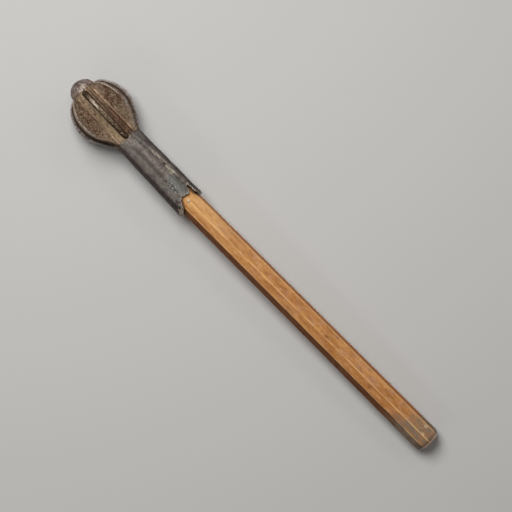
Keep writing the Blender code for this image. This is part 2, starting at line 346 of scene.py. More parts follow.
# Marks on the wood: along from the butt, to the side, half as long, half as wide
WOOD_CHIPS = [(0.0134, -0.0013, 0.0022, 0.0012), (0.0160, -0.0088, 0.0022, 0.0017)]
WOOD_SCARS = [
    (0.1494, -0.0022, 0.0026, 0.0013),
    (0.1404, -0.0092, 0.0020, 0.0012),
    (0.0834, 0.0036, 0.0018, 0.0011),
]


def wood_finish():
    wood = Finish("stick_wood", stick_space, ior=1.26)
    broad = wood.grain(9 * MM, 3, 0.5, 6)
    streaks = wood.grain(1.5 * MM, 4, 0.6, 12)
    mottle = wood.grain(8 * MM, 5, 0.7, 1.3)
    flecks = wood.grain(2.4 * MM, 4, 0.7, 1.6)
    pores = wood.grain(1.3 * MM, 2, 0.5, 3.5).ramp(0.60, 0.74)
    wood.colour = wood.blend(0.25 + 0.75 * broad.ramp(0.36, 0.62), WOOD_DEEP, WOOD_LIGHT)
    wood.coat(streaks.ramp(0.40, 0.64) * 0.35, WOOD_LIGHT)
    wood.coat(mottle.ramp(0.47, 0.60) * 0.7, WOOD_PINK)
    wood.coat(flecks.ramp(0.50, 0.66) * 0.6, WOOD_GREY)
    wood.coat(pores * 0.45, WOOD_PORE)
    # Painted shade: the lower half of the stick, as seen from above, is painted a little darker, most
    # towards the butt.
    lower = wood.side.ramp(-0.0005, 0.0008) * (0.18 + 0.32 * wood.along.ramp(0.320, 0.225))
    wood.coat(lower, WOOD_DEEP)
    paler = wood.along.ramp(0.255, 0.325) * wood.side.ramp(0.0075, -0.001)
    wood.coat(paler * 0.35, WOOD_PALE)
    tangled = wood.grain(3.6 * MM, 5, 0.72, 3.5)
    wood.coat(tangled.ramp(0.50, 0.62) * 0.28, WOOD_PORE)
    wood.coat(tangled.ramp(0.48, 0.38) * 0.22, WOOD_PALE)
    # Painted shade: the narrow flat along the upper edge is painted a darker reddish brown.
    upper_flat_shade = wood.side.ramp(-0.0106, -0.0116) * (0.55 + 0.6 * mottle)
    wood.coat(upper_flat_shade, WOOD_UPPER_FLAT_SHADE)
    # Painted shade: the flats round the lower side of the stick are painted dark.
    lower_flats_shade = wood.side.ramp(0.0070, 0.0084)
    wood.coat(lower_flats_shade * (0.62 + 0.55 * mottle), WOOD_LOWER_FLATS_SHADE)
    shift = (wood.grain(7 * MM, 4, 0.7, 1.6) - 0.5) * 0.055
    reach = wood.side.ramp(-0.002, 0.003) * 0.013
    stain = (wood.along + shift - reach).ramp(0.040, 0.020)
    stain = stain * (0.50 + 0.54 * wood.grain(4.5 * MM, 5, 0.75, 1.5).ramp(0.38, 0.60))
    wood.coat(stain * 0.9, WOOD_STAIN)
    # The arrises are painted paler: partly real wear, partly a painted highlight, strongest on the top and
    # along the upper edge.
    arris = wood.mark("arris")
    rubbed = arris * (0.25 + 0.75 * wood.grain(6 * MM, 3, 0.6, 4).ramp(0.35, 0.6))
    rubbed = rubbed * (0.35 + 0.65 * wood.up.ramp(0.0020, 0.0060))
    rubbed = rubbed.peak(arris * wood.side.ramp(-0.0080, -0.0100) * wood.up.ramp(0, 0.003))
    wood.coat(rubbed * 0.85, WOOD_PALE)
    wood.coat(wood.patches(WOOD_CHIPS, 0.9) * 0.6, WOOD_CHIP)
    wood.coat(wood.patches(WOOD_SCARS, 0.6) * 0.45, WOOD_PORE)
    # Painted shadow: the wood is darkened just past the socket's torn lip.
    lip_shade = wood.mark("lip_shadow_line")
    wood.coat(lip_shade * (0.55 + 0.5 * flecks), WOOD_LIP_SHADOW)
    # Painted highlight: a pale ragged rim round the edge of the butt.
    frayed = wood.along + (wood.grain(2.88 * MM, 4, 0.75, 0.625) - 0.5) * 0.0042
    rim = frayed.ramp(0.0032, 0.0012) * frayed.ramp(-0.0006, 0.0004)
    wood.coat(rim * (0.35 + mottle), WOOD_BUTT_RIM_HIGHLIGHT)
    from_pith = (wood.side - 0.004) ** 2 + (wood.up + 0.006) ** 2
    rings = wood.add("ShaderNodeMath", {"operation": "SINE"}, [from_pith**0.5 * 3400 + 6 * mottle])
    end_grain = wood.along.ramp(0.0003, 0.0001) * rings.ramp(-0.2, 0.9)
    wood.coat(end_grain * 0.6, WOOD_PORE)
    height = streaks * 0.5 + mottle * 0.6 + flecks * 0.5 - pores * 0.8
    wood.wear(
        base_color=wood.colour,
        roughness=0.46 + 0.16 * mottle + 0.12 * stain,
        normal=wood.bump(height, 0.16 * MM),
        coat_weight=0.03 * (1 - stain),
    )
    wood.shader.inputs["Coat Roughness"].default_value = 0.35
    return wood.material


stick = skin("stick", STICK_ROWS, STICK_COLUMNS, stick_point)
mark_points(stick, "arris", arris_wear_and_highlight, stick_space.inverted())
stick.data.materials.append(wood_finish())
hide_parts("shaft")
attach(stick, "root")


# The socket is one iron sheet rolled into a tapering tube. Its edges lap and were brazed shut, the
# seam has opened again near the mouth, and the mouth itself is torn into two tongues that a nail
# and rust still hold to the wood.

head_space = stick_space @ Matrix.Translation((STICK_SHOWN, TAPER_SIDESTEP, 0))
head_space = head_space @ Matrix.Rotation(-TAPER_LEAN, 4, "Z")
head_inverse = head_space.inverted()

SOCKET_LENGTH = 147 * MM
SOCKET_MOUTH_RADIUS = 16.0 * MM
SOCKET_TOP_RADIUS = 13.5 * MM
SHEET = 1.8 * MM
LAP_GAP = 0.2 * MM
LAP_SWEEP = 10
LAP_RISE_SWEEP = 10
SCARF = 0.62
SCARF_START = 8 * MM
SCARF_RUN = 6 * MM
FULL_SCARF_START = 31 * MM
FULL_SCARF_RUN = 13 * MM
MOUTH_SEAM = -44
SEAM_BEND = 1.7
FLANGE_COUNT = 7
FLANGE_TAIL_DEPTH = 83 * MM
SHEET_COLUMNS = 210
SHEET_ROWS = 168
TEAR_ROUGHNESS = 0.8 * MM
TOOTH_SWEEP = 9
FINE_TOOTH_SWEEP = 3.5
LIP_CURL = 0.5 * MM
LIP_CURL_REACH = 2.2 * MM
LIP_CURL_SIZE = 3 * MM
LIP_WEAR_REACH = 1.9 * MM
HAMMER_DEPTH = 0.20 * MM
HAMMER_SIZE = 11 * MM
PIT_DEPTH = 0.35 * MM
PIT_SIZE = 2.6 * MM
NEAR_MOUTH_RUST = 0.9
NEAR_MOUTH_REACH = 45 * MM
LIP_SHADOW_REACH = 0.9 * MM

# The torn mouth: degrees round from the seam, and reach past the mouth line over the wood
TORN_EDGE = [
    (0, -9.0), (6, -7.5), (14, -2.5), (22, -1.7), (30, -1.7), (39, -2.6), (50, -3.0), (58, -2.2),
    (68, 2.3), (77, 6.2), (92, 9.3), (119, 10.0), (136, 8.5), (149, 3.0), (174, -1.0), (204, -3.0),
    (234, -1.0), (264, -4.0), (294, 0.0), (312, 4.0), (329, 7.0), (339, 7.0), (350, 4.0), (360, 1.0),
]


def socket_radius(depth):
    return SOCKET_MOUTH_RADIUS + (SOCKET_TOP_RADIUS - SOCKET_MOUTH_RADIUS) * depth / SOCKET_LENGTH


def torn_reach(sweep):
    if sweep <= 0:
        return TORN_EDGE[0][1] * MM
    for (start, low), (end, high) in zip(TORN_EDGE, TORN_EDGE[1:]):
        if sweep <= end:
            share = (1 - math.cos(math.pi * (sweep - start) / (end - start))) / 2
            return (low + (high - low) * share) * MM
    return TORN_EDGE[-1][1] * MM


def seam_angle(depth):
    head_seam = -180 / FLANGE_COUNT + (LAP_SWEEP + LAP_RISE_SWEEP) / 2
    share = unit(depth / FLANGE_TAIL_DEPTH)
    return MOUTH_SEAM + (head_seam - MOUTH_SEAM) * share**SEAM_BEND


def torn_depth(sweep):
    """Where the torn lip runs, with the fine teeth of the tear added to its outline."""
    teeth = ripple((sweep, 0, 0), TOOTH_SWEEP, 3.1) + 0.7 * ripple((sweep, 0, 0), FINE_TOOTH_SWEEP, 8.4)
    return -torn_reach(sweep) - TEAR_ROUGHNESS * teeth


def sheet_point(round_share, along_share):
    sweep = round_share * (360 + LAP_SWEEP) - LAP_SWEEP
    mouth = torn_depth(sweep)
    depth = mouth + (SOCKET_LENGTH - mouth) * along_share
    rise = unit((sweep - (360 - LAP_SWEEP - LAP_RISE_SWEEP)) / LAP_RISE_SWEEP)
    rise = rise * rise * (3 - 2 * rise)
    thinned = SCARF * unit((depth - SCARF_START) / SCARF_RUN)
    thinned += (1 - SCARF) * unit((depth - FULL_SCARF_START) / FULL_SCARF_RUN)
    rise -= thinned * max(0, (sweep - (360 - LAP_SWEEP)) / LAP_SWEEP)
    angle = math.radians(seam_angle(depth) + sweep)
    radius = socket_radius(depth)
    out = polar(depth, radius, angle)
    relief = HAMMER_DEPTH * ripple(out, HAMMER_SIZE, 1.7)
    relief -= PIT_DEPTH * max(0, ripple(out, PIT_SIZE, 5.2) - 0.12)
    relief *= 1 + NEAR_MOUTH_RUST * unit(1 - depth / NEAR_MOUTH_REACH)
    from_lip = depth - mouth
    curl = LIP_CURL * math.exp(-from_lip / LIP_CURL_REACH) * (0.35 + ripple(out, LIP_CURL_SIZE, 9.0))
    radius += (SHEET + LAP_GAP) * rise + relief + curl
    return head_space @ polar(depth, radius, angle)


IRON_GREY = (0.132, 0.110, 0.096, 1)
IRON_DARK = (0.052, 0.040, 0.036, 1)
IRON_PALE = (0.240, 0.208, 0.180, 1)
IRON_PLUM = (0.095, 0.062, 0.075, 1)
IRON_GREEN = (0.130, 0.150, 0.128, 1)
IRON_TEAL = (0.122, 0.128, 0.114, 1)
IRON_BROWN = (0.165, 0.088, 0.044, 1)
IRON_RUST = (0.062, 0.028, 0.014, 1)
IRON_SHADE_AND_CRUST = (0.042, 0.028, 0.026, 1)
IRON_GOLDEN = (0.395, 0.282, 0.168, 1)
LIP_PALE = (0.420, 0.370, 0.310, 1)
BRAZE_YELLOW = (0.52, 0.47, 0.36, 1)
CRUST_WHITE = (0.50, 0.50, 0.48, 1)

# Marks on the sheet: along from the mouth, to the side, half as long, half as wide, how ragged
PLUM_MARK = (0.0665, -0.0118, 0.0050, 0.0022, 0.5)
LUMPY_MARK = (-0.0010, 0.0105, 0.0110, 0.0050, 0.6)
TEAL_MARK = (0.0145, -0.0030, 0.0125, 0.0068, 0.45)
CRUSTY_MARK = (0.0180, 0.0020, 0.0080, 0.0030, 0.5)
BRAZE_SMEAR = (0.0298, -0.0074, 0.0052, 0.0012, 0.5)
FAINT_SMEAR = (0.0515, -0.0090, 0.0070, 0.0017, 0.3)
LOWER_CRUMBS = (-0.0085, 0.0122, 0.0036, 0.0042, 0.5)
UPPER_CRUMBS = (0.0095, -0.0110, 0.0016, 0.0012, 0.2)
BRUISE_MARK = (-0.0045, 0.0100, 0.0040, 0.0035, 0.6)
SINGED_MARK = (0.1240, -0.0052, 0.0170, 0.0016, 0.6)


def socket_finish():
    iron = Finish("socket_sheet_iron", head_space, ior=1.3)
    cloud = iron.grain(16 * MM, 4, 0.6, 1.6)
    fine = iron.grain(4.4 * MM, 5, 0.74)
    specks = iron.grain(2.4 * MM, 3, 0.6)
    iron.colour = iron.blend(0.55 + 0.45 * cloud.ramp(0.36, 0.60), IRON_DARK, IRON_GREY)
    iron.coat(fine.ramp(0.42, 0.64) * 0.55, IRON_PALE)
    iron.coat(iron.grain(13 * MM, 4, 0.65).ramp(0.52, 0.72) * 0.22, IRON_PLUM)
    iron.coat(iron.grain(18 * MM, 3, 0.5, 0.5).ramp(0.57, 0.68) * 0.5, IRON_GREEN)
    iron.coat(specks.ramp(0.46, 0.38) * 0.50, IRON_DARK)
    collar = iron.along.ramp(0.066, 0.078) * specks.ramp(0.50, 0.60)
    iron.coat(collar * 0.18, LIP_PALE)
    streak = iron.side.ramp(-0.0025, 0.0010) * iron.side.ramp(0.0050, 0.0018) * iron.up.ramp(0, 0.004)
    streak = streak * iron.along.ramp(0.020, 0.036) * iron.along.ramp(0.080, 0.066)
    iron.coat(streak * (0.50 + 0.45 * fine), IRON_DARK)
    iron.coat(iron.patch(*PLUM_MARK) * 0.7, IRON_PLUM)
    # Painted sheen: a pale band along the lower half of the socket, as seen from above.
    lower_band_sheen = iron.side.ramp(0.0020, 0.0075) * iron.side.ramp(0.0116, 0.0084) * iron.up.ramp(0, 0.004)
    iron.coat(lower_band_sheen * (0.62 + 0.36 * fine.ramp(0.40, 0.60)), IRON_PALE)
    flushed = iron.side.ramp(0.0045, 0.0090) * iron.grain(6 * MM, 4, 0.7).ramp(0.48, 0.60)
    iron.coat(flushed * 0.65, IRON_PLUM)
    # Painted shade: both edges of the socket, as seen from above, are darkened, the lower one more.
    edge_shade = iron.side.ramp(0.0090, 0.0128).peak(iron.side.ramp(-0.0112, -0.0140) * 0.8)
    iron.coat(edge_shade * (0.76 + 0.34 * fine.ramp(0.60, 0.40)), IRON_SHADE_AND_CRUST)
    iron.coat(iron.patch(*LUMPY_MARK) * specks.ramp(0.56, 0.44) * 0.7, IRON_SHADE_AND_CRUST)
    teal = iron.patch(*TEAL_MARK) * iron.along.ramp(0.0264, 0.0256)
    iron.coat(teal * (0.15 + 0.65 * fine.ramp(0.40, 0.58)), IRON_TEAL)
    crusty = iron.patch(*CRUSTY_MARK)
    grit = iron.grain(1.7 * MM, 3, 0.7)
    crust = crusty * grit.ramp(0.54, 0.62)
    hollow = crusty * grit.ramp(0.48, 0.40)
    iron.coat(crust * 0.75, CRUST_WHITE)
    iron.coat(hollow * 0.9, IRON_DARK)
    drawn = iron.grain(1.5 * MM, 4, 0.75, 2.4).ramp(0.42, 0.55)
    iron.coat(iron.patch(*BRAZE_SMEAR) * drawn * 0.65, BRAZE_YELLOW)
    iron.coat(iron.patch(*FAINT_SMEAR) * drawn * 0.45, BRAZE_YELLOW)
    crumbs = (iron.patch(*LOWER_CRUMBS) * grit.ramp(0.48, 0.54)).peak(iron.patch(*UPPER_CRUMBS))
    iron.coat(crumbs * 0.85, LIP_PALE)
    bruise = iron.patch(*BRUISE_MARK) * fine.ramp(0.42, 0.55)
    iron.coat(bruise * 0.9, IRON_GOLDEN)
    head = iron.along.ramp(0.081, 0.086)
    under = iron.blend(fine.ramp(0.40, 0.62), IRON_RUST, IRON_BROWN)
    golden = iron.side.ramp(-0.001, 0.002).peak(iron.along.ramp(0.112, 0.126) * 0.6)
    under = iron.blend(golden * fine.ramp(0.30, 0.56) * 0.9, under, IRON_GOLDEN)
    sandy = iron.side.ramp(-0.0005, 0.0020) * iron.along.ramp(0.116, 0.100)
    under = iron.blend(sandy * 0.4, under, IRON_GOLDEN)
    under = iron.blend(specks.ramp(0.42, 0.33) * 0.7, under, IRON_RUST)
    under = iron.blend(iron.patch(*SINGED_MARK) * 0.7, under, IRON_RUST)
    iron.coat(head * 0.92, under)
    lip = iron.mark("lip")
    iron.coat(lip * specks.ramp(0.38, 0.54) * 0.9, LIP_PALE)
    height = cloud * 0.6 + fine * 0.8 + specks * 0.5 + crust * 0.7 - hollow * 0.9
    iron.wear(
        base_color=iron.colour,
        metallic=0.50 - 0.30 * crust - 0.25 * head,
        roughness=0.42 + 0.24 * fine,
        normal=iron.bump(height, 0.30 * MM),
    )
    return iron.material


sheet = skin("socket_sheet", SHEET_ROWS, SHEET_COLUMNS, sheet_point)
sheet.data.flip_normals()
sheet.data.materials.append(socket_finish())


def made_solid(thing):
    """Swaps an object's mesh for what its modifiers make of it, and removes them."""
    bpy.context.view_layer.update()
    evaluated = thing.evaluated_get(bpy.context.evaluated_depsgraph_get())
    finished = bpy.data.meshes.new_from_object(evaluated)
    thing.modifiers.clear()
    thing.data = finished
    finished.name = thing.name
    return thing


def lip_wear(spot):
    """1 on the bare metal of the torn lip, falling to 0 a millimetre or two inside it."""
    sweep = (math.degrees(math.atan2(spot.y, spot.z)) - seam_angle(spot.x)) % 360
    return unit(1.15 - (spot.x - torn_depth(sweep)) / LIP_WEAR_REACH)


def lip_contact_shadow(spot):
    """Painted shadow of the socket's torn lip on the wood: 1 under the sheet, falling to 0 past the lip."""
    sweep = (math.degrees(math.atan2(spot.y, spot.z)) - seam_angle(spot.x)) % 360
    return math.exp(-max(0, torn_depth(sweep) - spot.x) / LIP_SHADOW_REACH)


mark_points(stick, "lip_shadow_line", lip_contact_shadow, head_inverse)
wall = sheet.modifiers.new("wall", "SOLIDIFY")
wall.thickness = SHEET
wall.offset = -1
made_solid(sheet)
mark_points(sheet, "lip", lip_wear, head_inverse)
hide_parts("socket")
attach(sheet, "root")


# Braze closes the lap. It was run along the sheet's raised edge and scraped back, so most of it is
# as brown as the iron. A short stretch still shows yellow, as do two smears beside it.

SEAM_START = 11 * MM
SEAM_END = 48 * MM
SEAM_STEPS = 150
SEAM_BEAD_RADIUS = 1.2 * MM
SEAM_SINK = 0.75 * MM
SEAM_SINKS_FROM = 36 * MM
SEAM_ASIDE = 0.4 * MM
SEAM_WANDER = 0.9 * MM
SEAM_WANDER_LENGTH = 3.4 * MM
SEAM_LUMPS = 0.45
LUMP_SIZE = 3.2 * MM
RUN_STEP = 0.5 * MM
RUN_SIDES = 12


def geometry_tree(name, *inputs):
    """Opens a tree with named inputs. Returns a book of it and a wire for each input."""
    tree = bpy.data.node_groups.new(name, "GeometryNodeTree")
    for label, kind, *value in inputs:
        socket = tree.interface.new_socket(name=label, in_out="INPUT", socket_type=kind)
        if value:
            socket.default_value = value[0]
    tree.interface.new_socket(name="Made", in_out="OUTPUT", socket_type="NodeSocketGeometry")
    book = Book(tree)
    given = tree.nodes.new("NodeGroupInput")
    return book, [Wire(book, out) for out in given.outputs[:len(inputs)]]


def turned_copies(book, thing, copies):
    """Stands copies of a thing round the axis, evenly turned, and makes them real."""
    spots = book.add("GeometryNodePoints", {}, {"Count": copies})
    spin = book.add("GeometryNodeInputIndex") * (-2 * math.pi) / copies
    turn = book.add("ShaderNodeCombineXYZ", {}, {"X": spin})
    ring = {"Points": spots, "Instance": thing, "Rotation": turn}
    ring = book.add("GeometryNodeInstanceOnPoints", {}, ring)
    return book.add("GeometryNodeRealizeInstances", {}, {"Geometry": ring})


def send_out(book, surface, swell, finish):
    """Swells a surface along its normals, smooths it, gives it its material and ends the tree."""
    push = {0: book.add("GeometryNodeInputNormal"), "Scale": swell}
    push = book.add("ShaderNodeVectorMath", {"operation": "SCALE"}, push)
    surface = book.add("GeometryNodeSetPosition", {}, {"Geometry": surface, "Offset": push})
    surface = book.add("GeometryNodeSetShadeSmooth", {}, {"Geometry": surface})
    surface = book.add("GeometryNodeSetMaterial", {}, {"Geometry": surface, "Material": finish})
    book.feed(book.tree.nodes.new("NodeGroupOutput").inputs[0], surface)


def braze_run_tree():
    """A tree that lays lumpy braze along every edge path it is given, round the axis if asked."""
    book, (path, copies, radius, lumps, finish) = geometry_tree(
        "braze_run",
        ("Path", "NodeSocketGeometry"),
        ("Copies", "NodeSocketInt", 1),
        ("Radius", "NodeSocketFloat", SEAM_BEAD_RADIUS),
        ("Lumps", "NodeSocketFloat", SEAM_LUMPS),
        ("Finish", "NodeSocketMaterial"),
    )
    line = book.add("GeometryNodeMeshToCurve", {}, {"Mesh": path})
    line = book.add("GeometryNodeResampleCurve", {"mode": "LENGTH"}, {"Curve": line, "Length": RUN_STEP})
    ring = book.add("GeometryNodeCurvePrimitiveCircle", {}, {"Resolution": RUN_SIDES, "Radius": radius})
    tube = {"Curve": line, "Profile Curve": ring, "Fill Caps": True}
    run = turned_copies(book, book.add("GeometryNodeCurveToMesh", {}, tube), copies)
    lump = book.add("ShaderNodeTexNoise", {}, {"Scale": 1 / LUMP_SIZE, "Detail": 2.0})
    send_out(book, run, (lump - 0.5) * 2 * lumps * radius, finish)
    return book.tree


def worked_by(thing, tree, **values):
    """Runs a node tree on an object with its named inputs set, and keeps the result as a mesh."""
    tool = thing.modifiers.new(tree.name, "NODES")
    tool.node_group = tree
    names = {item.name: item.identifier for item in tree.interface.items_tree if item.in_out == "INPUT"}
    for name, value in values.items():
        tool[names[name]] = value
    return made_solid(thing)


def path_object(name, runs):
    """An object that is only edges: one chain of points for each run."""
    points, edges = [], []
    for run in runs:
        first = len(points)
        points += [tuple(point) for point in run]
        edges += [(number, number + 1) for number in range(first, len(points) - 1)]
    mesh = bpy.data.meshes.new(name)
    mesh.from_pydata(points, edges, [])
    return new_object(name, mesh)


BRAZE_TAN = (0.410, 0.292, 0.198, 1)
BRAZE_BROWN = (0.215, 0.140, 0.090, 1)
BRAZE_DARK = (0.032, 0.015, 0.007, 1)


def braze_finish(name, dull, clear, bright, shade):
    """Braze under rust, mottled from dull to clear. bright and shade say, from 0 to 1, how yellow
    each place of the finish still is, and how dark it is painted: a dark spot on the seam, and
    painted shade on the fillets beside the top flange.
    """
    braze = Finish(name, head_space, ior=1.3)
    cloud = braze.grain(7 * MM, 4, 0.6, 2)
    fine = braze.grain(3.0 * MM, 4, 0.65)
    braze.colour = braze.blend(cloud.ramp(0.44, 0.60), dull, clear)
    braze.coat(fine.ramp(0.48, 0.36) * 0.6, IRON_DARK)
    braze.coat(bright(braze) * fine.ramp(0.36, 0.52), BRAZE_YELLOW)
    darkening = shade(braze)
    braze.coat(darkening, BRAZE_DARK)
    braze.wear(
        base_color=braze.colour,
        metallic=0.40 * (1 - darkening),
        roughness=0.46 + 0.2 * fine + 0.3 * darkening,
        normal=braze.bump(fine, 0.25 * MM),
    )
    return braze.material


def seam_bright(braze):
    kept = braze.along.ramp(0.0255, 0.0262) * braze.along.ramp(0.0378, 0.0362)
    return kept * braze.grain(1.5 * MM, 4, 0.75, 1.6).ramp(0.44, 0.52)


def seam_dark_spot(braze):
    return braze.along.ramp(0.0378, 0.0385) * braze.along.ramp(0.0415, 0.0408) * 0.9


seam_path = []
for step in range(SEAM_STEPS + 1):
    depth = SEAM_START + (SEAM_END - SEAM_START) * step / SEAM_STEPS
    aside = SEAM_ASIDE + SEAM_WANDER * ripple((depth, 0, 0), SEAM_WANDER_LENGTH, 4.4)
    angle = math.radians(seam_angle(depth)) + aside / socket_radius(depth)
    gone = max(0, (depth - SEAM_SINKS_FROM) / (SEAM_END - SEAM_SINKS_FROM))
    sunk = SEAM_SINK + (SEAM_BEAD_RADIUS + SHEET / 2 - SEAM_SINK) * gone
    radius = socket_radius(depth) + SHEET / 2 - sunk
    seam_path.append(polar(depth, radius, angle))
seam = path_object("seam_braze", [seam_path])
seam_finish = braze_finish("seam_braze_metal", IRON_GREY, IRON_PALE, seam_bright, seam_dark_spot)
worked_by(seam, braze_run_tree(), Copies=1, Radius=SEAM_BEAD_RADIUS, Lumps=SEAM_LUMPS, Finish=seam_finish)
seam.data.transform(head_space)
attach(seam, "root")


# The seven flanges are forged iron plates, filed to one crescent and stood round the socket like
# the staves of a lantern. Their outer edges are spread a little by use. Rust has eaten them towards
# the tail, and handling has rubbed the high places bright. Light and shade are painted on as well:
# highlights on the crests, shadow in the valleys between plates, and shade on the top plate's sides.

PLATE_FOOT = 3.6 * MM
PLATE_CREST_TIP = 2.6 * MM
PLATE_CREST_BELLY = 4.6 * MM
PLATE_CREST_TAIL = 3.2 * MM
CREST_WOBBLE = 1.3 * MM
CREST_WOBBLE_LENGTH = 8 * MM
CREST_THINNING = 1.6
PLATE_FLARE_CURVE = 4
PLATE_BELLY_DEPTH = 118.5 * MM
PLATE_ROWS = 150
PLATE_COLUMNS = 90
PLATE_END_SHARE = 0.04
PLATE_WAVER = 0.5 * MM
PLATE_PITTING = 0.8 * MM
PLATE_EDGE_ROUND = 0.8 * MM
PLATE_STAND_OFF = 0.3 * MM
PLATE_LEAST_HEIGHT = 0.8 * MM
PLATE_WAVER_SIZE = 8 * MM
PLATE_PIT_SIZE = 3.4 * MM
CREST_CLEARANCE = 0.6 * MM
CREST_STEP = 0.8 * MM

plate_corners = [head_inverse @ vert.co for vert in frame["nodes"]["flange_1"].data.vertices]
plate_tail = min(corner.x for corner in plate_corners)
plate_tip = max(corner.x for corner in plate_corners)
crest_outline = []
for corner in sorted(plate_corners, key=lambda place: (round(place.x / MM, 1), place.z)):
    if corner.z < socket_radius(corner.x) + CREST_CLEARANCE:
        continue
    if crest_outline and corner.x - crest_outline[-1][0] < CREST_STEP:
        crest_outline[-1] = (crest_outline[-1][0], max(crest_outline[-1][1], corner.z))
    else:
        crest_outline.append((corner.x, corner.z))


def crest_height(depth):
    """How far the crescent's outer edge stands from the axis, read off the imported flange."""
    before = max((pair for pair in crest_outline if pair[0] <= depth), default=crest_outline[0])
    after = min((pair for pair in crest_outline if pair[0] >= depth), default=crest_outline[-1])
    if after[0] - before[0] < 1e-7:
        return before[1]
    share = (depth - before[0]) / (after[0] - before[0])
    return before[1] + (after[1] - before[1]) * share


def crest_thickness(depth):
    uneven = CREST_WOBBLE * ripple((depth, 0, 0), CREST_WOBBLE_LENGTH, 7.7)
    end = plate_tip if depth > PLATE_BELLY_DEPTH else plate_tail
    thin = PLATE_CREST_TIP if depth > PLATE_BELLY_DEPTH else PLATE_CREST_TAIL
    share = min(1, abs(depth - PLATE_BELLY_DEPTH) / abs(end - PLATE_BELLY_DEPTH))
    return PLATE_CREST_BELLY + (thin - PLATE_CREST_BELLY) * share**CREST_THINNING + uneven


def plate_point(round_share, along_share):
    """One flange standing straight up: a bar in section, a crescent in outline."""
    inside = (along_share - PLATE_END_SHARE) / (1 - 2 * PLATE_END_SHARE)
    depth = plate_tail + (plate_tip - plate_tail) * unit(inside)
    foot = socket_radius(depth) + PLATE_STAND_OFF
    crest = max(crest_height(depth), foot + PLATE_LEAST_HEIGHT)
    half_foot = PLATE_FOOT / 2
    half_crest = crest_thickness(depth) / 2
    tall = crest - foot
    walls = [(half_foot, foot), (half_crest, crest), (-half_crest, crest), (-half_foot, foot)]
    runs = [tall, 2 * half_crest, tall, 2 * half_foot]
    travelled = round_share * sum(runs)
    number = 0
    while number < 3 and travelled > runs[number]:
        travelled -= runs[number]
        number += 1
    share = min(1, travelled / runs[number])
    (y0, z0), (y1, z1) = walls[number], walls[(number + 1) % 4]
    if number in (0, 2):
        flare = share if number == 0 else 1 - share
        y = math.copysign(half_foot + (half_crest - half_foot) * flare**PLATE_FLARE_CURVE, y0)
    else:
        y = y0 + (y1 - y0) * share
    z = z0 + (z1 - z0) * share
    below_crest = crest - z
    if below_crest < PLATE_EDGE_ROUND:
        z -= PLATE_EDGE_ROUND * 0.6 * (1 - below_crest / PLATE_EDGE_ROUND) * (abs(y) / half_crest) ** 4
    shrink = 1
    if inside < 0:
        shrink = along_share / PLATE_END_SHARE
    if inside > 1:
        shrink = (1 - along_share) / PLATE_END_SHARE
    middle = (foot + crest) / 2
    return Vector((depth, y * shrink, middle + (z - middle) * shrink))


def plate_ring_tree():
    """A tree that stands copies of one plate round the axis and rusts each in its own way."""
    book, (plate, plates, waver, pitting, finish) = geometry_tree(
        "plate_ring",
        ("Plate", "NodeSocketGeometry"),
        ("Plates", "NodeSocketInt", FLANGE_COUNT),
        ("Waver", "NodeSocketFloat", PLATE_WAVER),
        ("Pitting", "NodeSocketFloat", PLATE_PITTING),
        ("Finish", "NodeSocketMaterial"),
    )
    ring = turned_copies(book, plate, plates)
    broad = book.add("ShaderNodeTexNoise", {}, {"Scale": 1 / PLATE_WAVER_SIZE, "Detail": 2.0})
    fine = book.add("ShaderNodeTexNoise", {}, {"Scale": 1 / PLATE_PIT_SIZE, "Detail": 3.0})
    below = book.add("GeometryNodeInputNamedAttribute", {"data_type": "FLOAT"}, {"Name": "below_crest"})
    place = book.add("ShaderNodeSeparateXYZ", {}, [book.add("GeometryNodeInputPosition")])
    eaten = place.ramp(0.118, 0.100) * below.ramp(3.0, 0.8)
    swell = (broad - 0.5) * waver * 2 - fine.ramp(0.50, 0.68) * pitting * (0.35 + 0.9 * eaten)
    send_out(book, ring, swell, finish)
    return book.tree


PLATE_BROWN = (0.090, 0.044, 0.022, 1)
PLATE_RED = (0.130, 0.052, 0.034, 1)
PLATE_OLIVE = (0.175, 0.122, 0.066, 1)
PLATE_TAN = (0.400, 0.290, 0.190, 1)
PLATE_GREY = (0.120, 0.103, 0.094, 1)
PLATE_BRIGHT = (0.46, 0.39, 0.32, 1)
PLATE_BLACK = (0.038, 0.018, 0.008, 1)
PLATE_DUN = (0.060, 0.036, 0.024, 1)
PLATE_LILAC = (0.330, 0.290, 0.275, 1)
PLATE_ROSY = (0.400, 0.280, 0.205, 1)

# Marks on the plates, as for the sheet
RUDDY_MARK = (0.1230, -0.0190, 0.0110, 0.0070, 0.8)
ROSY_MARK = (0.1380, -0.0125, 0.0100, 0.0048, 0.8)
BROWNED_MARK = (0.1140, 0.0150, 0.0100, 0.0060, 0.7)
FRETTED_MARK = (0.1115, -0.0255, 0.0070, 0.0032, 0.8)


